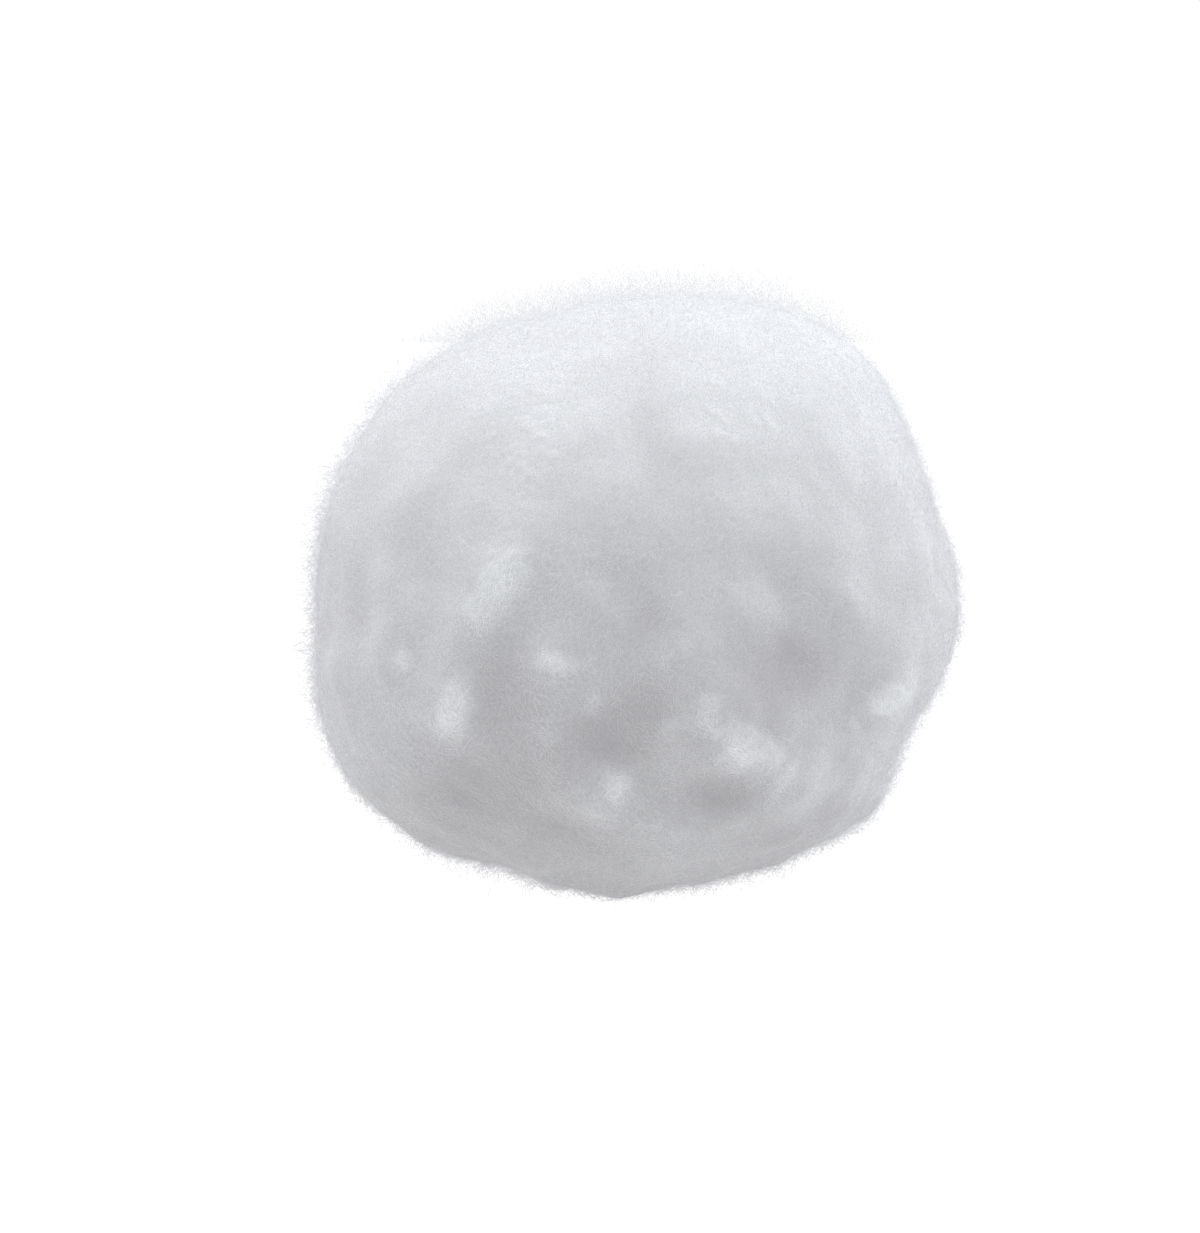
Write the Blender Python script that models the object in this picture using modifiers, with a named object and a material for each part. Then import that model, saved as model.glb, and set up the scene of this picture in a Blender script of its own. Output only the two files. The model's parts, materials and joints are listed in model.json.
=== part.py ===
# Pool filter ball: one soft lump of matted white fibre, as one closed solid. Its skin is
# where the mat turns dense, so the finest loose fibre stands up to 2 mm proud of it.
# Metres, +Z up. The front faces -Y, so someone looking at it sees +X on the right.
# The ball stands on z = 0, with its box centred over the world origin.

import math
import random

import bmesh
import bpy
from mathutils import Vector, noise

# The whole ball, without its lumps
BALL_WIDTH = 0.0433
BALL_DEPTH = 0.0420
BALL_HEIGHT = 0.0422
SETTLE = 0.0005  # how far its weight presses the underside flat
CALM_RADIUS = 0.0062  # round the rest spot, where tufts are pressed smooth

# The grid of its surface
CAGE_CUTS = 6
SUBDIVISION_LEVELS = 2

# Broad lobes and flats round the outline seen from the front.
# Clock angle from the top and lean towards the front, then the spread along the
# outline and from front to back, all in degrees, and the height, below 0 for a flat.
OUTLINE_LOBES = {
    "right_shoulder": (37, 8, 11, 26, 0.0014),
    "flat_over_right_side": (71, -5, 8, 20, -0.0007),
    "right_side": (92, 4, 9, 24, 0.0003),
    "dent_under_right_side": (113, 6, 10, 18, -0.0010),
    "lower_right_corner": (139, 0, 8, 18, 0.0003),
    "slope_under_right_corner": (161, 8, 12, 22, -0.0015),
    "underside": (183, 0, 14, 22, -0.0003),
    "slope_under_left_corner": (198, 4, 9, 20, -0.0010),
    "lower_left_corner": (244, -6, 14, 26, 0.0018),
    "left_side": (264, 4, 12, 24, -0.0005),
    "left_shoulder": (311, 5, 12, 26, 0.0004),
    "dip_in_crown": (347, 5, 14, 30, -0.0009),
}

# Lumps and hollows on the front, as seen from a little above it. Place across and up
# from the ball's middle, half the width, half the length, lean of the length to the
# right in degrees, height.
VIEW_ELEVATION = 6  # degrees
FRONT_LUMPS = {
    "left_long_tuft": (-0.0124, -0.0067, 0.0009, 0.0018, 12, 0.0006),
    "left_edge_tuft": (-0.0158, -0.0045, 0.0010, 0.0012, 0, 0.0005),
    "left_brow": (-0.0091, 0.0010, 0.0016, 0.0026, 28, 0.0007),
    "left_brow_foot": (-0.0105, -0.0017, 0.0012, 0.0018, 30, 0.0004),
    "middle_left_tuft": (-0.0057, -0.0046, 0.0015, 0.0012, -60, 0.0006),
    "middle_tuft": (0.0012, -0.0046, 0.0013, 0.0012, 0, 0.0004),
    "middle_right_tuft": (0.0052, -0.0065, 0.0013, 0.0016, 20, 0.0006),
    "right_cheek": (0.0069, -0.0096, 0.0016, 0.0019, -25, 0.0007),
    "left_of_hollow": (-0.0054, -0.0087, 0.0011, 0.0016, -15, 0.0005),
    "lower_left_arc": (-0.0091, -0.0103, 0.0010, 0.0020, -55, 0.0005),
    "under_hollow": (-0.0015, -0.0121, 0.0010, 0.0010, 0, 0.0004),
    "right_edge_tuft": (0.0171, -0.0060, 0.0014, 0.0012, 30, 0.0006),
    "lower_right_tuft": (0.0100, -0.0116, 0.0009, 0.0016, 35, 0.0006),
    "middle_hollow": (-0.0016, -0.0092, 0.0022, 0.0019, 60, -0.0009),
    "chin_hollow": (0.0059, -0.0128, 0.0017, 0.0022, 80, -0.0008),
    "right_hollow": (0.0103, -0.0045, 0.0026, 0.0024, 20, -0.0008),
    "brow_hollow": (-0.0064, -0.0004, 0.0018, 0.0018, 0, -0.0005),
    "lower_left_hollow": (-0.0115, -0.0130, 0.0034, 0.0019, 60, -0.0008),
}

# The fold that curls under the chin hollow, as points across and up from the middle
FOLD_POINTS = [
    (-0.0044, -0.0127),
    (-0.0010, -0.0147),
    (0.0035, -0.0157),
    (0.0072, -0.0144),
    (0.0103, -0.0116),
]
FOLD_HALF_WIDTH = 0.0009
FOLD_HEIGHT = 0.0007

# Small tufts all round, as the fibre mats into them
TUFT_COUNT = 150
TUFT_HALF_WIDTH = 0.0013
TUFT_HEIGHT = 0.00038
TUFT_VARIETY = 0.4  # share by which a tuft's size may differ
TUFT_SHAKE = 0.33  # share of their spacing by which tufts leave their even places
TUFT_SEED = 11

# Soft lumps and fine fluff in the matted surface
LUMP_SIZE = 0.0095
LUMP_HEIGHT = 0.0007
FLUFF_SIZE = 0.0036
FLUFF_HEIGHT = 0.00045
FLUFF_LAYERS = 2

# Over the crown the mat is smoother than round the sides
CROWN_RELIEF = 0.35  # share of the lumps, tufts and fluff that is left there
CROWN_START = 0.15  # as a share of the way from the middle to the top
CROWN_END = 0.8

FIBRE_COLOUR = (0.86, 0.87, 0.88, 1.0)
FIBRE_ROUGHNESS = 1.0


def clear_scene():
    for old in list(bpy.data.objects):
        bpy.data.objects.remove(old, do_unlink=True)


def hump(distance):
    # A soft bell, 1 at the middle, about 0.6 one unit away and nothing past four
    if distance > 4:
        return 0.0
    return math.exp(-0.5 * distance * distance)


def plain_reach(way):
    # From the centre to the skin of the plain ball, along a unit vector
    across = way.x / (BALL_WIDTH / 2)
    inward = way.y / (BALL_DEPTH / 2)
    upward = way.z / (BALL_HEIGHT / 2)
    return 1 / math.sqrt(across**2 + inward**2 + upward**2)


def lobe_height(way):
    clock = math.degrees(math.atan2(way.x, way.z))
    lean = math.degrees(math.asin(max(-1.0, min(1.0, -way.y))))
    total = 0.0
    for lobe_clock, lobe_lean, along, through, height in OUTLINE_LOBES.values():
        turn = (clock - lobe_clock + 180) % 360 - 180
        turn *= math.cos(math.radians(lean))
        offset = math.hypot(turn / along, (lean - lobe_lean) / through)
        total += height * hump(offset)
    return total


def lump_offset(across, up, lump):
    # How many half-sizes a point of the front lies from the middle of a lump
    lump_across, lump_up, half_width, half_length, lean, _ = lump
    turn = math.radians(lean)
    right = across - lump_across
    rise = up - lump_up
    along = rise * math.cos(turn) + right * math.sin(turn)
    beside = right * math.cos(turn) - rise * math.sin(turn)
    return math.hypot(beside / half_width, along / half_length)


def fold_offset(across, up):
    # How many half-widths a point of the front lies from the fold
    point = Vector((across, up))
    nearest = math.inf
    for start, end in zip(FOLD_POINTS, FOLD_POINTS[1:]):
        start = Vector(start)
        span = Vector(end) - start
        share = max(0.0, min(1.0, (point - start).dot(span) / span.length_squared))
        nearest = min(nearest, (point - start - share * span).length)
    return nearest / FOLD_HALF_WIDTH


def front_height(place):
    if place.y > 0:
        return 0.0
    down = math.radians(VIEW_ELEVATION)
    up = place.z * math.cos(down) + place.y * math.sin(down)
    total = FOLD_HEIGHT * hump(fold_offset(place.x, up))
    for lump in FRONT_LUMPS.values():
        total += lump[-1] * hump(lump_offset(place.x, up, lump))
    return total


def tuft_ways():
    # Directions spread evenly round a sphere by the golden angle, then shaken a little
    shaker = random.Random(TUFT_SEED)
    golden_angle = math.pi * (3 - math.sqrt(5))
    shake = math.sqrt(4 * math.pi / TUFT_COUNT) * TUFT_SHAKE
    ways = []
    for index in range(TUFT_COUNT):
        level = 1 - 2 * (index + 0.5) / TUFT_COUNT
        ring = math.sqrt(1 - level * level)
        turn = index * golden_angle
        way = Vector((ring * math.cos(turn), ring * math.sin(turn), level))
        way += Vector([shaker.gauss(0, shake) for _ in range(3)])
        size = shaker.uniform(1 - TUFT_VARIETY, 1 + TUFT_VARIETY)
        ways.append((way.normalized(), size))
    return ways


def tuft_height(place, tufts):
    total = 0.0
    for tuft_place, size in tufts:
        offset = (place - tuft_place).length / (TUFT_HALF_WIDTH * size)
        total += TUFT_HEIGHT * size * hump(offset)
    return total


def fluff_height(place):
    # Round lumps with creases between them, and finer fluff over both
    lumps = abs(noise.noise(place / LUMP_SIZE)) - 0.25
    fluff = noise.fractal(place / FLUFF_SIZE, 0.9, 2.0, FLUFF_LAYERS)
    return lumps * LUMP_HEIGHT + fluff * FLUFF_HEIGHT


def ease(value, start, end):
    # From 0 at the start to 1 at the end, level at both
    share = max(0.0, min(1.0, (value - start) / (end - start)))
    return share * share * (3 - 2 * share)


def relief_share(place):
    # 0 over the rest spot, 1 round the sides and the crown's own share on top
    if place.z < 0:
        return ease(math.hypot(place.x, place.y), 0, CALM_RADIUS)
    crown = ease(place.z / (BALL_HEIGHT / 2), CROWN_START, CROWN_END)
    return 1 - crown * (1 - CROWN_RELIEF)


def quad_sphere():
    # A cube cut into even squares, blown up round and subdivided
    mesh = bpy.data.meshes.new("ball_cage")
    grid = bmesh.new()
    bmesh.ops.create_cube(grid, size=2)
    bmesh.ops.subdivide_edges(grid, edges=grid.edges[:], cuts=CAGE_CUTS, use_grid_fill=True)
    for point in grid.verts:
        even = [math.tan(value * math.pi / 4) for value in point.co]
        point.co = Vector(even).normalized()
    grid.to_mesh(mesh)
    grid.free()
    cage = bpy.data.objects.new("ball_cage", mesh)
    bpy.context.scene.collection.objects.link(cage)
    smooth = cage.modifiers.new("Subdivision", "SUBSURF")
    smooth.levels = SUBDIVISION_LEVELS
    smooth.render_levels = SUBDIVISION_LEVELS
    depsgraph = bpy.context.evaluated_depsgraph_get()
    fine = bpy.data.meshes.new_from_object(cage.evaluated_get(depsgraph))
    bpy.data.objects.remove(cage, do_unlink=True)
    bpy.data.meshes.remove(mesh)
    return fine


def shape_ball(mesh):
    tufts = []
    for way, size in tuft_ways():
        reach = plain_reach(way) + lobe_height(way)
        tufts.append((way * reach, size))
    for point in mesh.vertices:
        way = point.co.normalized()
        reach = plain_reach(way) + lobe_height(way)
        place = way * reach
        relief = front_height(place) + tuft_height(place, tufts) + fluff_height(place)
        point.co = way * (reach + relief * relief_share(place))


def settle_ball(mesh):
    # The underside is pressed flat on z = 0, and the box centred over the origin
    floor = min(point.co.z for point in mesh.vertices) + SETTLE
    across = [point.co.x for point in mesh.vertices]
    inward = [point.co.y for point in mesh.vertices]
    middle_x = (min(across) + max(across)) / 2
    middle_y = (min(inward) + max(inward)) / 2
    for point in mesh.vertices:
        point.co.x -= middle_x
        point.co.y -= middle_y
        point.co.z = max(0.0, point.co.z - floor)


def fibre_material():
    material = bpy.data.materials.new("white_fibre")
    material.use_nodes = True
    material.diffuse_color = FIBRE_COLOUR
    surface = material.node_tree.nodes["Principled BSDF"]
    surface.inputs["Base Color"].default_value = FIBRE_COLOUR
    surface.inputs["Roughness"].default_value = FIBRE_ROUGHNESS
    surface.inputs["Metallic"].default_value = 0.0
    return material


def build_ball():
    mesh = quad_sphere()
    mesh.name = "fibre_ball"
    shape_ball(mesh)
    settle_ball(mesh)
    mesh.shade_smooth()
    mesh.materials.append(fibre_material())
    ball = bpy.data.objects.new("fibre_ball", mesh)
    collection = bpy.data.collections.new("Pool filter ball")
    bpy.context.scene.collection.children.link(collection)
    collection.objects.link(ball)
    return ball


clear_scene()
build_ball()
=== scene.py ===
import json
import math

import bmesh
import bpy
import numpy as np
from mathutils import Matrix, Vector, noise
from mathutils.bvhtree import BVHTree

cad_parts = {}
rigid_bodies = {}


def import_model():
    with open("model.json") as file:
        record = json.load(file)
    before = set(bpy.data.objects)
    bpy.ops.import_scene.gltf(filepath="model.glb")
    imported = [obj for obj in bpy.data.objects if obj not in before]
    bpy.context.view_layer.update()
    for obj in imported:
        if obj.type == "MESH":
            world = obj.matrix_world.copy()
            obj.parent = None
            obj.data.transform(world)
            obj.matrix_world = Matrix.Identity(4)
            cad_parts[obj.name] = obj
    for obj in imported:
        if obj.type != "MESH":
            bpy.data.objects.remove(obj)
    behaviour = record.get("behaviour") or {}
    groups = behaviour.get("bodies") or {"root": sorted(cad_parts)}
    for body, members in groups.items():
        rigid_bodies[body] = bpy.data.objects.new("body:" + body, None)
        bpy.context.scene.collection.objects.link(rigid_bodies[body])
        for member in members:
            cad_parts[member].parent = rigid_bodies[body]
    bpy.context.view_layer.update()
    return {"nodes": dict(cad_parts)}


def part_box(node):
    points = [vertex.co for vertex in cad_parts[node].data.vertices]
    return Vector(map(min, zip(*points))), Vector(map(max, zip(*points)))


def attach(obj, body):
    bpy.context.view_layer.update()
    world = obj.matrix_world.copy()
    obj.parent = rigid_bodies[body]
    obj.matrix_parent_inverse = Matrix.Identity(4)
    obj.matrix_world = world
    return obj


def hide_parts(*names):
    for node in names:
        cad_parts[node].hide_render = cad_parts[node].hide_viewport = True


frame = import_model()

# Dresses the pool filter ball: a matted body under loose white fibre, on a pale floor.
# Metres, +Z up, and the front faces -Y.

ballNode = frame["nodes"]["fibre_ball"]
ballLow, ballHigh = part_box("fibre_ball")
ballMiddle = (ballLow + ballHigh) / 2
ballRadius = (ballHigh.x - ballLow.x) / 2
mm = 0.001


# Shader groups

def newGroup(name, inputs, outputs):
    group = bpy.data.node_groups.new(name, "ShaderNodeTree")
    for label, value in inputs.items():
        kind = "NodeSocketColor" if isinstance(value, tuple) else "NodeSocketFloat"
        socket = group.interface.new_socket(label, in_out="INPUT", socket_type=kind)
        socket.default_value = value
    for label, kind in outputs.items():
        group.interface.new_socket(label, in_out="OUTPUT", socket_type=kind)
    return group, group.nodes.new("NodeGroupInput"), group.nodes.new("NodeGroupOutput")


def multiplyAdd(group, value, factor, addend):
    # value * factor + addend, where the last two may be sockets or plain numbers
    node = group.nodes.new("ShaderNodeMath")
    node.operation = "MULTIPLY_ADD"
    group.links.new(value, node.inputs[0])
    for place, source in ((1, factor), (2, addend)):
        if isinstance(source, float):
            node.inputs[place].default_value = source
        else:
            group.links.new(source, node.inputs[place])
    return node.outputs[0]


def objectNoise(group, scale, detail):
    place = group.nodes.new("ShaderNodeTexCoord")
    texture = group.nodes.new("ShaderNodeTexNoise")
    texture.inputs["Detail"].default_value = detail
    group.links.new(place.outputs["Object"], texture.inputs["Vector"])
    group.links.new(scale, texture.inputs["Scale"])
    return texture.outputs["Fac"]


def fibreTintAndLightGroup():
    # Painted shade and light: a duller white as painted shade in the hollows, deep in the
    # mat, and round the sides, and a cool bright white as painted light on the tufts and
    # over the crown, with a slow drift between them and a fine speckle
    inputs = {
        "Shaded White": (0.8, 0.8, 0.8, 1.0),
        "Lit White": (0.9, 0.9, 0.9, 1.0),
        "Tone": 0.0,
        "Drift": 0.3,
        "Drift Scale": 90.0,
        "Speckle": 0.05,
        "Speckle Scale": 2500.0,
    }
    group, source, result = newGroup("Fibre Tint And Painted Light", inputs, {"Color": "NodeSocketColor"})
    drift = objectNoise(group, source.outputs["Drift Scale"], 3.0)
    drift = multiplyAdd(group, drift, 1.0, -0.5)
    half = multiplyAdd(group, source.outputs["Tone"], 0.5, 0.5)
    share = multiplyAdd(group, drift, source.outputs["Drift"], half)
    whites = group.nodes.new("ShaderNodeMix")
    whites.data_type = "RGBA"
    whites.clamp_factor = True
    group.links.new(share, whites.inputs["Factor"])
    group.links.new(source.outputs["Shaded White"], whites.inputs["A"])
    group.links.new(source.outputs["Lit White"], whites.inputs["B"])
    speckle = objectNoise(group, source.outputs["Speckle Scale"], 1.0)
    speckle = multiplyAdd(group, speckle, 1.0, -0.5)
    speckle = multiplyAdd(group, speckle, source.outputs["Speckle"], 1.0)
    tinted = group.nodes.new("ShaderNodeVectorMath")
    tinted.operation = "SCALE"
    group.links.new(whites.outputs["Result"], tinted.inputs[0])
    group.links.new(speckle, tinted.inputs["Scale"])
    group.links.new(tinted.outputs[0], result.inputs["Color"])
    return group


def strandPaintedLightGroup():
    # Duller to brighter white with the strand's tone: painted shade round the sides and in
    # the hollows, painted light over the crown and on the tufts
    inputs = {
        "Shaded White": (0.8, 0.8, 0.8, 1.0),
        "Lit White": (0.9, 0.9, 0.9, 1.0),
        "Tone": 0.0,
    }
    group, source, result = newGroup("Strand Painted Light", inputs, {"Color": "NodeSocketColor"})
    share = multiplyAdd(group, source.outputs["Tone"], 0.5, 0.5)
    whites = group.nodes.new("ShaderNodeMix")
    whites.data_type = "RGBA"
    group.links.new(share, whites.inputs["Factor"])
    group.links.new(source.outputs["Shaded White"], whites.inputs["A"])
    group.links.new(source.outputs["Lit White"], whites.inputs["B"])
    group.links.new(whites.outputs["Result"], result.inputs["Color"])
    return group


def fibreMatGroup():
    # Height of fine strands that lie across each other in two directions
    inputs = {"Strand Scale": 1400.0, "Clump Scale": 420.0, "Clump Share": 0.5}
    group, source, result = newGroup("Fibre Mat", inputs, {"Height": "NodeSocketFloat"})
    place = group.nodes.new("ShaderNodeTexCoord")
    total = multiplyAdd(group, objectNoise(group, source.outputs["Clump Scale"], 2.0),
                        source.outputs["Clump Share"], 0.0)
    for turn in (0.5, 2.1):
        turned = group.nodes.new("ShaderNodeMapping")
        turned.inputs["Rotation"].default_value = (turn, turn * 0.7, turn * 1.3)
        turned.inputs["Scale"].default_value = (1.0, 0.3, 0.6)
        group.links.new(place.outputs["Object"], turned.inputs["Vector"])
        strands = group.nodes.new("ShaderNodeTexNoise")
        group.links.new(turned.outputs[0], strands.inputs["Vector"])
        group.links.new(source.outputs["Strand Scale"], strands.inputs["Scale"])
        total = multiplyAdd(group, strands.outputs["Fac"], 0.5, total)
    group.links.new(total, result.inputs["Height"])
    return group


# Materials

def placeGroup(material, group, values):
    node = material.node_tree.nodes.new("ShaderNodeGroup")
    node.node_tree = group
    for label, value in values.items():
        node.inputs[label].default_value = value
    return node


def toneMaterial(name, finish):
    # A rough white that has the mesh's tone at hand, its painted shade and light
    material = bpy.data.materials.new(name)
    material.use_nodes = True
    surface = material.node_tree.nodes["Principled BSDF"]
    surface.inputs["Roughness"].default_value = finish["roughness"]
    surface.inputs["Specular IOR Level"].default_value = finish["specular"]
    tone = material.node_tree.nodes.new("ShaderNodeAttribute")
    tone.attribute_name = "tone"
    return material, surface, tone.outputs["Fac"]


bodyFinish = {
    # Painted shade and light: the duller white is painted shade in the hollows and round the
    # sides, the bright cool white is painted light on the tufts and over the crown
    "shadedWhite": (0.70, 0.69, 0.71, 1.0),
    "litWhite": (0.94, 0.95, 0.965, 1.0),
    "drift": 0.3,
    "driftScale": 200.0,
    "speckle": 0.25,
    "speckleScale": 11000.0,
    "roughness": 1.0,
    "specular": 0.1,
    "sheen": 0.4,
    "strandScale": 2600.0,
    "clumpScale": 700.0,
    "clumpShare": 0.4,
    "bumpDepth": 0.006 * mm,
}


def bodyMaterial(tintAndLightGroup, matGroup):
    material, surface, tone = toneMaterial("matted white fibre", bodyFinish)
    surface.inputs["Sheen Weight"].default_value = bodyFinish["sheen"]
    nodes, links = material.node_tree.nodes, material.node_tree.links
    tint = placeGroup(material, tintAndLightGroup, {
        "Shaded White": bodyFinish["shadedWhite"],
        "Lit White": bodyFinish["litWhite"],
        "Drift": bodyFinish["drift"],
        "Drift Scale": bodyFinish["driftScale"],
        "Speckle": bodyFinish["speckle"],
        "Speckle Scale": bodyFinish["speckleScale"],
    })
    links.new(tone, tint.inputs["Tone"])
    links.new(tint.outputs["Color"], surface.inputs["Base Color"])
    mat = placeGroup(material, matGroup, {
        "Strand Scale": bodyFinish["strandScale"],
        "Clump Scale": bodyFinish["clumpScale"],
        "Clump Share": bodyFinish["clumpShare"],
    })
    bump = nodes.new("ShaderNodeBump")
    bump.inputs["Distance"].default_value = bodyFinish["bumpDepth"]
    links.new(mat.outputs["Height"], bump.inputs["Height"])
    links.new(bump.outputs["Normal"], surface.inputs["Normal"])
    return material


strandFinish = {
    # Painted shade and light, as on the body: the duller white paints shade, the bright cool
    # white paints light
    "shadedWhite": (0.70, 0.69, 0.71, 1.0),
    "litWhite": (0.94, 0.95, 0.965, 1.0),
    "roughness": 1.0,
    "specular": 0.1,
}


def strandMaterial(name, alpha, paintedLightGroup):
    # Each strand stands for a wisp of finer fibres, so it is partly see-through
    material, surface, tone = toneMaterial(name, strandFinish)
    surface.inputs["Alpha"].default_value = alpha
    links = material.node_tree.links
    white = placeGroup(material, paintedLightGroup, {
        "Shaded White": strandFinish["shadedWhite"],
        "Lit White": strandFinish["litWhite"],
    })
    links.new(tone, white.inputs["Tone"])
    links.new(white.outputs["Color"], surface.inputs["Base Color"])
    return material


# Where the fibre stands loose in tufts, and where it is drawn in; this also paints light on
# the tufts and shade in the hollows

# Tufts above 0 and hollows below 0 on the front, as the camera sees it; besides raising and
# sinking the body, the tufts are painted lighter as painted light, and the hollows and the
# wide front shade darker as painted shade. Place across and up from the ball's middle, half
# the width, half the length, all in mm, lean to the right in degrees, amount.
frontTufts = {
    "brow": (-9.3, -0.6, 1.0, 2.2, 32, 1.0),
    "browTop": (-7.6, 1.4, 1.0, 1.2, 60, 0.35),
    "longTuft": (-11.6, -7.3, 0.7, 1.4, 12, 1.6),
    "leftEdge": (-14.9, -4.5, 0.6, 0.7, -30, 0.8),
    "leftEdgeTop": (-16.2, -2.8, 0.4, 0.8, 10, 0.5),
    "leftBrow": (-14.1, -1.8, 0.6, 0.6, 0, 0.4),
    "middleLeft": (-5.2, -4.6, 0.8, 0.6, 20, 1.0),
    "middleLeftTail": (-3.1, -4.7, 1.0, 0.7, 90, 0.4),
    "middle": (1.3, -4.4, 0.9, 0.9, 0, 0.5),
    "cheekTop": (4.3, -7.4, 0.6, 1.3, 10, 0.8),
    "cheek": (6.5, -9.8, 1.3, 1.1, 60, 1.1),
    "cheekFoot": (8.6, -10.5, 1.0, 0.6, 90, 0.7),
    "cheekStreak": (9.3, -12.0, 0.3, 1.1, 35, 0.9),
    "besideHollow": (2.1, -8.4, 0.6, 1.1, 55, 0.6),
    "overHollow": (-2.9, -7.3, 0.5, 0.9, 30, 0.6),
    "leftOfHollow": (-5.4, -9.0, 0.8, 1.0, -20, 0.6),
    "underHollow": (-1.4, -12.2, 0.8, 0.9, 0, 1.2),
    "leftArc": (-7.9, -10.6, 0.4, 1.5, -65, 0.5),
    "rightEdge": (16.2, -7.0, 0.6, 1.2, 70, 1.5),
    "rightSpeck": (13.8, -8.8, 0.4, 0.5, 0, 0.5),
    "foldLeft": (-3.5, -13.3, 0.6, 1.8, -50, 0.5),
    "foldMiddle": (1.0, -15.1, 0.6, 2.4, -82, 0.6),
    "foldRight": (6.6, -14.7, 0.6, 2.2, 70, 0.5),
    "foldTip": (10.6, -12.3, 0.5, 1.2, 45, 0.4),
    "middleHollow": (-1.1, -9.1, 1.6, 1.3, 0, -1.5),
    "hollowTop": (0.7, -7.0, 0.9, 1.2, 40, -0.6),
    "rightHollow": (9.4, -5.1, 1.9, 2.1, 30, -1.2),
    "chinHollow": (5.6, -12.9, 0.8, 1.5, 85, -1.0),
    "leftHollow": (-8.3, -6.7, 1.5, 2.6, 0, -0.8),
    "lowerLeftHollow": (-10.2, -12.6, 1.7, 2.8, 80, -1.4),
    "underLeft": (-4.8, -15.7, 0.9, 2.9, -80, -0.6),
    "underRight": (11.8, -15.3, 0.8, 2.6, 65, -0.6),
    "middleDip": (0.8, -1.7, 0.9, 1.6, 0, -0.4),
    "leftDip": (-17.8, -1.4, 0.9, 1.7, 0, -0.4),
    "crownLeft": (-6.6, 10.3, 2.5, 5.7, 5, 0.4),
    "crownRight": (6.7, 11.6, 2.7, 5.1, -5, 0.4),
    "crownStreak": (0.7, 10.9, 0.9, 4.4, -3, -0.5),
    # A wide hollow, painted darker as painted shade over the lower front
    "frontShade": (-0.5, -9.5, 8.5, 6.5, 0, -0.35),
}

crownPaintedLight = 0.8  # painted light: how much whiter the fibre is painted over the crown, where light falls from above
paintedLightCrown = (0.0, 0.9)  # how far up a face points where that starts and is full

# How ragged the tufts' edges are
tuftEdge = {
    "raggedSize": 1.3 * mm,
    "raggedDetail": 4,
    "raggedDepth": 0.5,
    "starts": 0.35,  # of a tuft's amount, where its painted white starts and where it is full
    "full": 0.7,
    "outsideShare": 0.4,  # of the amount, where its painted white hasn't started
    "fullGain": 0.9,  # and what is added to that where it is full
}

# Smaller tufts and hollows all round, by the size of their patches; these also paint the
# fibre lighter and darker, as painted light and shade, more on the underside than over the
# crown
roundTufts = {
    "patchSize": 3.4 * mm,
    "detail": 5,
    "frontAmount": 0.28,
    "backAmount": 0.6,
    "undersideShare": 1.1,
    "crownShare": 0.2,
    "crownStarts": (-0.5, 0.2),  # how far up a face points, from underside to crown
    "frontStarts": (0.1, 0.5),  # how far forward a face points, from back to front
}
loosenessRange = (-1.5, 1.3)
raggedness = 0.8  # how fast the fractal's finer detail fades
finerBy = 2.1  # how much finer each step of that detail is


def frontAmounts(across, up):
    # Sums of the named tufts and of the named hollows at points given in mm
    tufts, hollows = np.zeros(len(across)), np.zeros(len(across))
    for tuftAcross, tuftUp, halfWidth, halfLength, lean, amount in frontTufts.values():
        turn = math.radians(lean)
        right, rise = across - tuftAcross, up - tuftUp
        along = rise * math.cos(turn) + right * math.sin(turn)
        beside = right * math.cos(turn) - rise * math.sin(turn)
        offset = (beside / halfWidth) ** 2 + (along / halfLength) ** 2
        total = tufts if amount > 0 else hollows
        total += amount * np.exp(-0.5 * offset)
    return tufts, hollows


def fractalAt(points, size, detail):
    values = np.empty(len(points))
    for index, point in enumerate(points):
        values[index] = noise.fractal(Vector(point) / size, raggedness, finerBy, detail)
    return values


def smoothShare(values, low, high):
    share = np.clip((values - low) / (high - low), 0, 1)
    return share * share * (3 - 2 * share)


def loosenessAndShadeAt(points):
    # From below -1 in the hollows to above 1 on the tufts, for the relief and for painted
    # shade and light
    offsets = points - np.array(ballMiddle)
    ways = unit(offsets)
    crown = smoothShare(ways[:, 2], *roundTufts["crownStarts"])
    share = roundTufts["undersideShare"] * (1 - crown) + roundTufts["crownShare"] * crown
    patches = fractalAt(points, roundTufts["patchSize"], roundTufts["detail"])
    down = math.radians(view["elevation"])
    up = offsets[:, 2] * math.cos(down) + offsets[:, 1] * math.sin(down)
    tufts, hollows = frontAmounts(offsets[:, 0] / mm, up / mm)
    ragged = fractalAt(points, tuftEdge["raggedSize"], tuftEdge["raggedDetail"])
    edge = tufts + ragged * tuftEdge["raggedDepth"]
    fullness = smoothShare(edge, tuftEdge["starts"], tuftEdge["full"])
    tufts *= tuftEdge["outsideShare"] + tuftEdge["fullGain"] * fullness
    facing = smoothShare(-ways[:, 1], *roundTufts["frontStarts"])
    amount = roundTufts["backAmount"] * (1 - facing) + roundTufts["frontAmount"] * facing
    return np.clip(patches * amount * share + (tufts + hollows) * facing, *loosenessRange)


def toneWithPaintedLight(loosenessAndShade, ways, sidePaintedShade):
    # How white the fibre is painted: shade in the hollows and light on the tufts, and light
    # over the crown where faces point up, with one tone round the sides and one over the
    # crown
    crown = smoothShare(ways[:, 2], *paintedLightCrown)
    return loosenessAndShade + sidePaintedShade + (crownPaintedLight - sidePaintedShade) * crown


# The matted body, which takes the CAD skin's form

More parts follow.
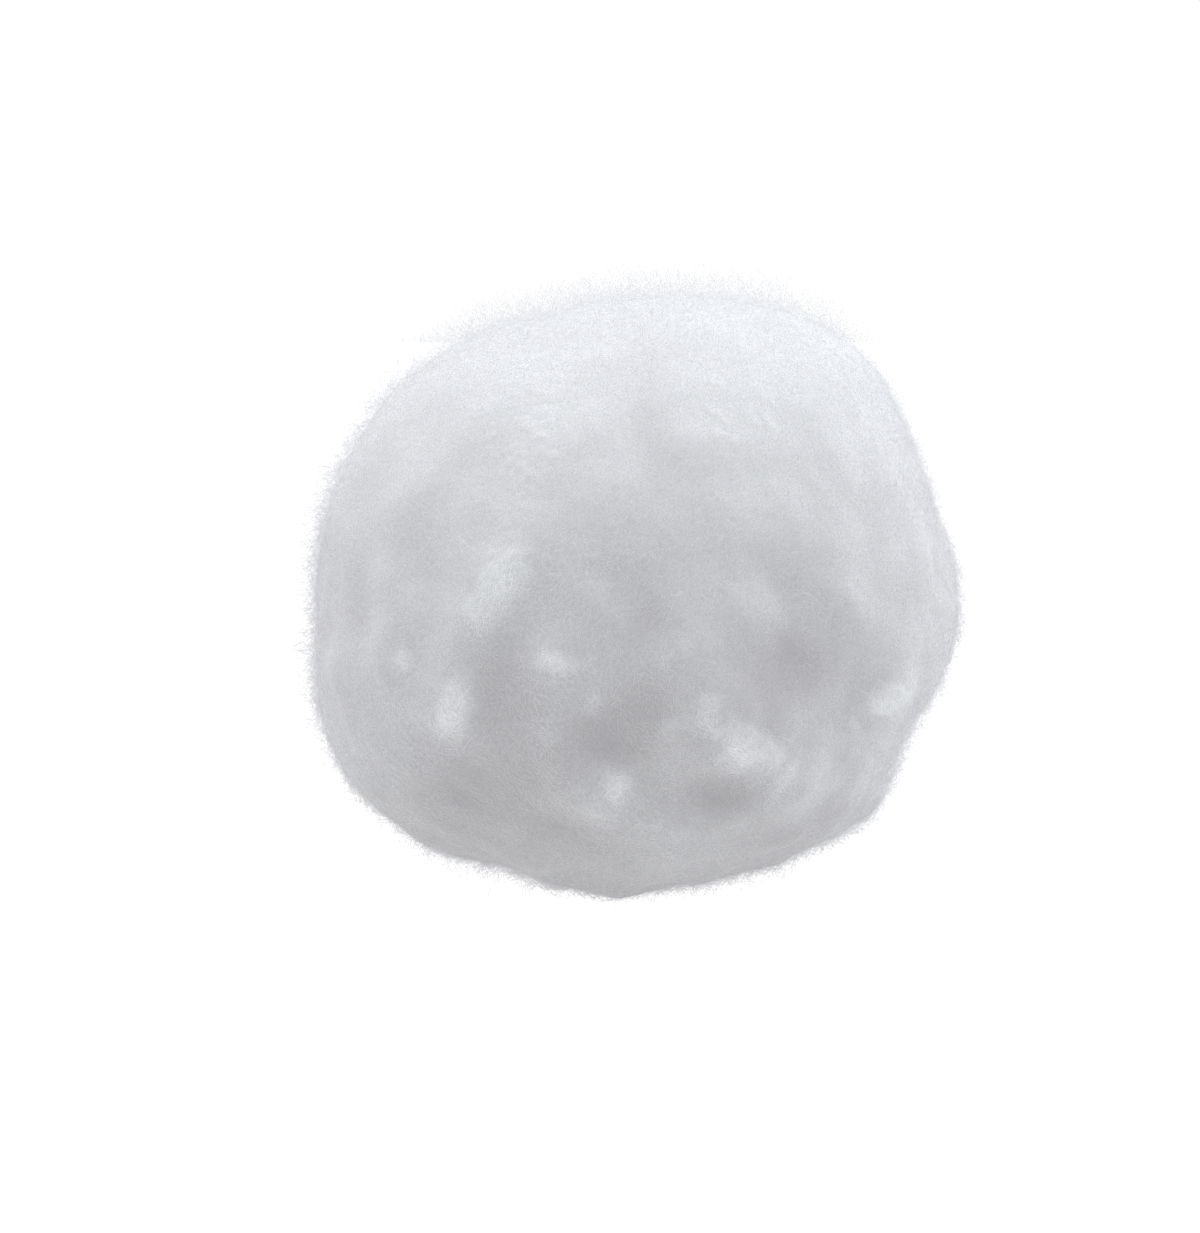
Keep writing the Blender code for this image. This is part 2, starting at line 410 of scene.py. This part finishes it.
bodyShape = {
    "squaresPerSide": 128,
    "inset": 0.08 * mm,  # how far the body lies under the CAD skin
    "smoothing": 9,
    "crownSmoothing": 30,
    "crownStarts": (0.0, 0.8),
    "floorGap": 0.05 * mm,
    "tone": 0.0,
    "tuftHeight": 0.22 * mm,
    "fluffSize": 1.0 * mm,
    "fluffHeight": 0.012 * mm,
}


def skinReach(ways):
    # Distance from the ball's middle to the CAD skin along each unit vector
    tree = BVHTree.FromObject(ballNode, bpy.context.evaluated_depsgraph_get())
    reach = np.empty(len(ways))
    for index, way in enumerate(ways):
        hit = tree.ray_cast(ballMiddle, Vector(way))
        reach[index] = hit[3]
    return reach


def roundGrid(squares):
    # A cube's even squares, blown up to unit length
    grid = bmesh.new()
    bmesh.ops.create_cube(grid, size=2)
    cuts = squares - 1
    bmesh.ops.subdivide_edges(grid, edges=grid.edges[:], cuts=cuts, use_grid_fill=True)
    for point in grid.verts:
        point.co = Vector([math.tan(value * math.pi / 4) for value in point.co]).normalized()
    mesh = bpy.data.meshes.new("fibreBody")
    grid.to_mesh(mesh)
    grid.free()
    return mesh


def pointsOf(mesh):
    flat = np.empty(len(mesh.vertices) * 3)
    mesh.vertices.foreach_get("co", flat)
    return flat.reshape(-1, 3)


def setPoints(mesh, points):
    mesh.vertices.foreach_set("co", points.astype(np.float32).ravel())
    mesh.update()


def setValues(mesh, name, values):
    layer = mesh.attributes.new(name, "FLOAT", "POINT")
    layer.data.foreach_set("value", values.astype(np.float32))


def unit(vectors):
    return vectors / np.maximum(np.linalg.norm(vectors, axis=-1, keepdims=True), 1e-12)


def smoothed(values, edges, rounds):
    # Each point's value drawn halfway to its neighbours' mean, several times over
    count = np.bincount(edges.ravel(), minlength=len(values))
    for _ in range(rounds):
        total = np.bincount(edges[:, 0], values[edges[:, 1]], len(values))
        total += np.bincount(edges[:, 1], values[edges[:, 0]], len(values))
        values = (values + total / count) / 2
    return values


def fluffRelief(points):
    relief = np.empty(len(points))
    for index, point in enumerate(points):
        relief[index] = noise.noise(Vector(point) / bodyShape["fluffSize"])
    return relief * bodyShape["fluffHeight"]


def makeBody(material):
    mesh = roundGrid(bodyShape["squaresPerSide"])
    ways = unit(pointsOf(mesh))
    edges = np.empty(len(mesh.edges) * 2, np.int32)
    mesh.edges.foreach_get("vertices", edges)
    edges = edges.reshape(-1, 2)
    crown = smoothShare(ways[:, 2], *bodyShape["crownStarts"])
    reach = smoothed(skinReach(ways), edges, bodyShape["smoothing"])
    calm = smoothed(reach, edges, bodyShape["crownSmoothing"])
    reach += (calm - reach) * crown
    middle = np.array(ballMiddle)
    skinPoints = middle + ways * reach[:, None]
    loosenessAndShade = loosenessAndShadeAt(skinPoints)
    raised = loosenessAndShade * bodyShape["tuftHeight"] + fluffRelief(skinPoints)
    reach += raised - bodyShape["inset"]
    points = middle + ways * reach[:, None]
    points[:, 2] = np.maximum(points[:, 2], ballLow.z + bodyShape["floorGap"])
    setPoints(mesh, points)
    setValues(mesh, "loosenessAndShade", loosenessAndShade)
    # The tone is painted shade in the hollows and painted light on the tufts and over the
    # crown
    setValues(mesh, "tone", toneWithPaintedLight(loosenessAndShade, ways, bodyShape["tone"]))
    mesh.shade_smooth()
    mesh.materials.append(material)
    body = bpy.data.objects.new("fibreBody", mesh)
    bpy.context.scene.collection.objects.link(body)
    print("body:", len(mesh.polygons), "squares")
    return body


# Loose fibre, as thin closed strands with three sides and pointed ends

def bodySkin(body):
    mesh = body.data
    mesh.calc_loop_triangles()
    corners = np.empty(len(mesh.loop_triangles) * 3, np.int32)
    mesh.loop_triangles.foreach_get("vertices", corners)
    corners = corners.reshape(-1, 3)
    points = pointsOf(mesh)
    normals = np.empty(len(mesh.vertices) * 3)
    mesh.vertices.foreach_get("normal", normals)
    loosenessAndShade = np.empty(len(mesh.vertices))
    mesh.attributes["loosenessAndShade"].data.foreach_get("value", loosenessAndShade)
    spans = np.cross(points[corners[:, 1]] - points[corners[:, 0]],
                     points[corners[:, 2]] - points[corners[:, 0]])
    return {"corners": corners, "points": points, "normals": normals.reshape(-1, 3),
            "areas": np.linalg.norm(spans, axis=1), "loosenessAndShade": loosenessAndShade}


def scatterRoots(skin, count, tuftShare, chance):
    # Places on the body, crowded on the tufts by tuftShare, with normals and looseness
    loose = skin["loosenessAndShade"][skin["corners"]].mean(axis=1)
    weights = skin["areas"] * np.exp(tuftShare * loose)
    picked = chance.choice(len(weights), count, p=weights / weights.sum())
    shares = chance.dirichlet((1, 1, 1), count)
    corners = skin["corners"][picked]
    places = np.einsum("nk,nkd->nd", shares, skin["points"][corners])
    normals = unit(np.einsum("nk,nkd->nd", shares, skin["normals"][corners]))
    loosenessAndShade = np.einsum("nk,nk->n", shares, skin["loosenessAndShade"][corners])
    return places, normals, loosenessAndShade


def tangentFrame(normals, chance):
    # Two directions along the skin at each root, turned at random
    start = unit(np.cross(normals, np.roll(normals, 1, axis=1) + (0.3, 0.1, 0.2)))
    across = np.cross(normals, start)
    turn = chance.uniform(0, 2 * math.pi, len(normals))[:, None]
    along = start * np.cos(turn) + across * np.sin(turn)
    return along, np.cross(normals, along)


# How much higher the loose fibre stands over the crown, most of all left of its middle
crownLoft = {"way": (-0.6, 0.0, 0.8), "start": 0.0, "end": 0.9, "gain": 1.0}


def standingHeights(normals, loosenessAndShade, look, chance):
    # How high above the body each strand reaches, few of them far
    crown = smoothShare(normals @ crownLoft["way"], crownLoft["start"], crownLoft["end"])
    loft = 1 + crownLoft["gain"] * crown + look["tuftLoft"] * loosenessAndShade
    lift = chance.exponential(look["lift"], len(normals)) * np.maximum(loft, 0.3)
    return np.minimum(lift, look["highest"])


strandPlaces = (0.0, 0.5, 1.0)  # a strand's tip, ring and tip, along its length


def strandPaths(places, normals, loosenessAndShade, look, chance):
    # Loops that leave the body, pass over it and sink in again
    count = len(places)
    along, beside = tangentFrame(normals, chance)
    length = chance.uniform(*look["length"], count)[:, None]
    lift = standingHeights(normals, loosenessAndShade, look, chance)
    sunk = np.full(count, -look["sink"])
    height = np.stack([sunk, lift, sunk], 1)
    run = (np.array(strandPlaces)[None, :] - 0.5) * length
    swerve = chance.normal(0, look["curl"], (count, 3)) * length
    height = height - run**2 / (2 * ballRadius)
    wobble = chance.normal(0, look["wobble"], (count, 3, 3))
    paths = places[:, None, :] + along[:, None, :] * run[:, :, None]
    paths = paths + beside[:, None, :] * swerve[:, :, None]
    return paths + normals[:, None, :] * height[:, :, None] + wobble


def strandPoints(paths, normals, widths):
    # Each strand's first tip, the ring of three at its middle, then its last tip
    heading = unit(np.gradient(paths, axis=1))
    side = unit(np.cross(heading, normals[:, None, :]))
    rise = np.cross(side, heading)
    ring = slice(1, 2)
    corners = []
    for corner in range(3):
        turn = 2 * math.pi * corner / 3 - math.pi / 6  # one ridge points outward
        spread = side[:, ring] * math.cos(turn) + rise[:, ring] * math.sin(turn)
        corners.append(paths[:, ring] + spread * widths[:, None, None] / 2)
    ringPoints = np.stack(corners, 2).reshape(len(paths), -1, 3)
    return np.concatenate([paths[:, :1], ringPoints, paths[:, -1:]], 1)


def strandFaces():
    # The six triangles of one strand, from its tips to the ring, each with its corners
    # on the map
    faces, uvs = [], []
    ringPlace = strandPlaces[1]
    for corner in range(3):
        after = (corner + 1) % 3
        left, right = corner / 3, (corner + 1) / 3
        middle = (left + right) / 2
        faces.append((0, 1 + after, 1 + corner))
        uvs.append((middle, 0, right, ringPlace, left, ringPlace))
        faces.append((1 + corner, 1 + after, 4))
        uvs.append((left, ringPlace, right, ringPlace, middle, 1))
    return faces, uvs


cellMargin = 0.04  # of a strand's cell on the map


def makeStrands(name, points, tone, material):
    count, perStrand, _ = points.shape
    faces, uvs = strandFaces()
    allFaces = []
    for index in range(count):
        base = index * perStrand
        for face in faces:
            allFaces.append([base + corner for corner in face])
    mesh = bpy.data.meshes.new(name)
    mesh.from_pydata(points.reshape(-1, 3).tolist(), [], allFaces)
    setValues(mesh, "tone", np.repeat(tone, perStrand))
    # Every strand has its own cell of the map, so that a bake has room for each
    cells = math.ceil(math.sqrt(count))
    flat = np.array([value for face in uvs for value in face]).reshape(-1, 2)
    index = np.arange(count)
    corner = np.stack([index % cells, index // cells], 1)[:, None, :]
    places = (corner + cellMargin + (1 - 2 * cellMargin) * flat[None]) / cells
    layer = mesh.uv_layers.new(name="OFBake")
    layer.data.foreach_set("uv", places.astype(np.float32).ravel())
    mesh.materials.append(material)
    mesh.update()
    strands = bpy.data.objects.new(name, mesh)
    bpy.context.scene.collection.objects.link(strands)
    # Light filters through fibre this fine, so it shades neither the body nor itself
    strands.visible_shadow = False
    strands.visible_diffuse = False
    print(f"{name}: {count} strands, {len(allFaces)} triangles")
    return strands


loftFibre = {
    "seed": 5,
    "count": 33000,
    "length": (1.6 * mm, 3.0 * mm),
    "lift": 0.34 * mm,
    "highest": 1.8 * mm,
    "tuftLoft": 0.5,
    "tuftShare": 0.4,
    "sink": 0.05 * mm,
    "curl": 0.1,
    "wobble": 0.02 * mm,
    "width": (0.04 * mm, 0.06 * mm),
    "alpha": 0.11,
}

driftFibre = {
    "seed": 8,
    "count": 33000,
    "length": (2.0 * mm, 3.6 * mm),
    "lift": 0.50 * mm,
    "highest": 2.0 * mm,
    "tuftLoft": 0.5,
    "tuftShare": 0.3,
    "sink": 0.05 * mm,
    "curl": 0.12,
    "wobble": 0.03 * mm,
    "width": (0.05 * mm, 0.07 * mm),
    "alpha": 0.10,
}

hazeFibre = {
    "seed": 12,
    "count": 33000,
    "length": (2.4 * mm, 4.2 * mm),
    "lift": 0.70 * mm,
    "highest": 2.4 * mm,
    "tuftLoft": 0.5,
    "tuftShare": 0.2,
    "sink": 0.05 * mm,
    "curl": 0.14,
    "wobble": 0.05 * mm,
    "width": (0.05 * mm, 0.08 * mm),
    "alpha": 0.08,
}

tuftFibre = {
    "seed": 14,
    "count": 20000,
    "length": (0.8 * mm, 2.0 * mm),
    "lift": 0.20 * mm,
    "highest": 0.9 * mm,
    "tuftLoft": 0.5,
    "tuftShare": 2.5,
    "sink": 0.05 * mm,
    "curl": 0.15,
    "wobble": 0.03 * mm,
    "width": (0.04 * mm, 0.07 * mm),
    "alpha": 0.13,
}

spareRoots = 1.1  # roots drawn for each strand wanted, as some would reach the floor
floorGap = 0.01 * mm
sidePaintedShade = -0.3  # painted shade: how much duller than the body the strands are painted round the sides


def growFibre(name, look, skin, paintedLightGroup):
    chance = np.random.default_rng(look["seed"])
    drawn = round(look["count"] * spareRoots)
    places, normals, loosenessAndShade = scatterRoots(skin, drawn, look["tuftShare"], chance)
    paths = strandPaths(places, normals, loosenessAndShade, look, chance)
    widths = chance.uniform(*look["width"], drawn)
    points = strandPoints(paths, normals, widths)
    clear = np.flatnonzero(points[:, :, 2].min(axis=1) > ballLow.z + floorGap)
    clear = clear[:look["count"]]
    # The strands' tone paints light over the crown and on the tufts, and shade round the
    # sides and in the hollows
    tone = toneWithPaintedLight(loosenessAndShade, normals, sidePaintedShade)
    material = strandMaterial(name + " white", look["alpha"], paintedLightGroup)
    return makeStrands(name, points[clear], tone[clear], material)


# Studio: pale floor, soft light from above and the sides, and the camera

studio = {
    "floorSize": 3.0,
    "floorWhite": 0.35,
    "floorGlow": 0.4,  # what the floor sends up to the ball
    "floorShownGlow": 0.98,  # what the camera sees of it
    "backdropWhite": 1.05,
    "fill": 0.08,
    "fillColour": (0.96, 1.0, 1.0, 1.0),
    # strength, spread in degrees, direction it shines along, colour
    "lights": {
        "overheadKey": (2.76, 90, (0.0, 0.04, -1.0), (0.963, 0.97, 1.0)),
        "leftSide": (1.08, 60, (1.0, -0.5, -0.15), (0.965, 0.97, 1.0)),
        "rightSide": (1.68, 60, (-1.0, -0.5, -0.25), (0.925, 0.97, 1.0)),
    },
    # Light that filters on through the loose fibre, which gets no other but the fill
    "filteredLights": {"filtered": (2.6, 180, (0.0, 0.5, -0.85), (0.97, 0.98, 1.0))},
}


def cameraMix(nodes, links, unseen, seen):
    # One value for rays from the camera, another for light
    path = nodes.new("ShaderNodeLightPath")
    mix = nodes.new("ShaderNodeMix")
    mix.data_type = "FLOAT"
    mix.inputs[2].default_value = unseen
    mix.inputs[3].default_value = seen
    links.new(path.outputs["Is Camera Ray"], mix.inputs["Factor"])
    return mix.outputs[0]


def makeFloor():
    bpy.ops.mesh.primitive_plane_add(size=studio["floorSize"], location=(0, 0, 0))
    floor = bpy.context.object
    floor.name = "paleFloor"
    material = bpy.data.materials.new("pale floor")
    material.use_nodes = True
    nodes, links = material.node_tree.nodes, material.node_tree.links
    surface = nodes["Principled BSDF"]
    white = studio["floorWhite"]
    surface.inputs["Base Color"].default_value = (white, white, white, 1)
    surface.inputs["Roughness"].default_value = 1.0
    surface.inputs["Specular IOR Level"].default_value = 0.0
    surface.inputs["Emission Color"].default_value = (1, 1, 1, 1)
    glow = cameraMix(nodes, links, studio["floorGlow"], studio["floorShownGlow"])
    links.new(glow, surface.inputs["Emission Strength"])
    floor.data.materials.append(material)
    return floor


def addSun(name, strength, spread, towards, colour):
    # A wide soft light that shines along a direction
    data = bpy.data.lights.new(name, "SUN")
    data.energy = strength
    data.angle = math.radians(spread)
    data.color = colour
    light = bpy.data.objects.new(name, data)
    light.rotation_mode = "QUATERNION"
    light.rotation_quaternion = Vector(towards).to_track_quat("-Z", "Y")
    bpy.context.scene.collection.objects.link(light)
    return light


def makeLight():
    world = bpy.data.worlds.new("studio white")
    world.use_nodes = True
    nodes, links = world.node_tree.nodes, world.node_tree.links
    background = nodes["Background"]
    strength = cameraMix(nodes, links, studio["fill"], studio["backdropWhite"])
    links.new(strength, background.inputs["Strength"])
    path = nodes.new("ShaderNodeLightPath")
    colour = nodes.new("ShaderNodeMix")
    colour.data_type = "RGBA"
    colour.inputs["A"].default_value = studio["fillColour"]
    colour.inputs["B"].default_value = (1, 1, 1, 1)
    links.new(path.outputs["Is Camera Ray"], colour.inputs["Factor"])
    links.new(colour.outputs["Result"], background.inputs["Color"])
    bpy.context.scene.world = world


def lightOnly(lights, name, pieces):
    # Suns that reach only the given pieces
    lit = bpy.data.collections.new(name)
    for piece in pieces:
        lit.objects.link(piece)
    for lightName, values in lights.items():
        addSun(lightName, *values).light_linking.receiver_collection = lit


view = {
    "imageWidth": 1200,
    "imageHeight": 1233,
    "ballMiddlePixel": (634.5, 593),  # where the ball's middle shows, across and down
    "pixelSize": 0.0682 * mm,  # at the ball
    "lens": 100,
    "sensor": 36,
    "elevation": 6,
}


def makeCamera():
    data = bpy.data.cameras.new("camera")
    data.lens = view["lens"]
    data.sensor_width = view["sensor"]
    camera = bpy.data.objects.new("camera", data)
    bpy.context.scene.collection.objects.link(camera)
    rise = math.radians(view["elevation"])
    back = Vector((0, -math.cos(rise), math.sin(rise)))
    screenUp = Vector((0, math.sin(rise), math.cos(rise)))
    across = (view["imageWidth"] / 2 - view["ballMiddlePixel"][0]) * view["pixelSize"]
    upward = (view["ballMiddlePixel"][1] - view["imageHeight"] / 2) * view["pixelSize"]
    aim = ballMiddle + Vector((across, 0, 0)) + screenUp * upward
    distance = view["imageHeight"] * view["pixelSize"] * view["lens"] / view["sensor"]
    camera.location = aim + back * distance
    camera.rotation_mode = "QUATERNION"
    camera.rotation_quaternion = (-back).to_track_quat("-Z", "Y")
    data.clip_start = 0.01
    data.clip_end = 10
    bpy.context.scene.camera = camera


def setLook():
    scene = bpy.context.scene
    scene.view_settings.view_transform = "Standard"
    scene.view_settings.look = "None"
    scene.cycles.diffuse_bounces = 4
    scene.cycles.max_bounces = 6
    scene.cycles.transparent_max_bounces = 96


floor = makeFloor()
makeLight()
makeCamera()
setLook()
print("studio ready")

body = makeBody(bodyMaterial(fibreTintAndLightGroup(), fibreMatGroup()))
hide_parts("fibre_ball")
skin = bodySkin(body)
layers = {
    "loftFibre": loftFibre,
    "driftFibre": driftFibre,
    "hazeFibre": hazeFibre,
    "tuftFibre": tuftFibre,
}
paintedLightGroup = strandPaintedLightGroup()
pieces = [body]
for name, look in layers.items():
    pieces.append(growFibre(name, look, skin, paintedLightGroup))
lightOnly(studio["lights"], "mat and floor", [body, floor])
lightOnly(studio["filteredLights"], "loose fibre", pieces[1:])
for piece in pieces:
    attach(piece, "root")
print("fibre grown:", len(pieces), "pieces")
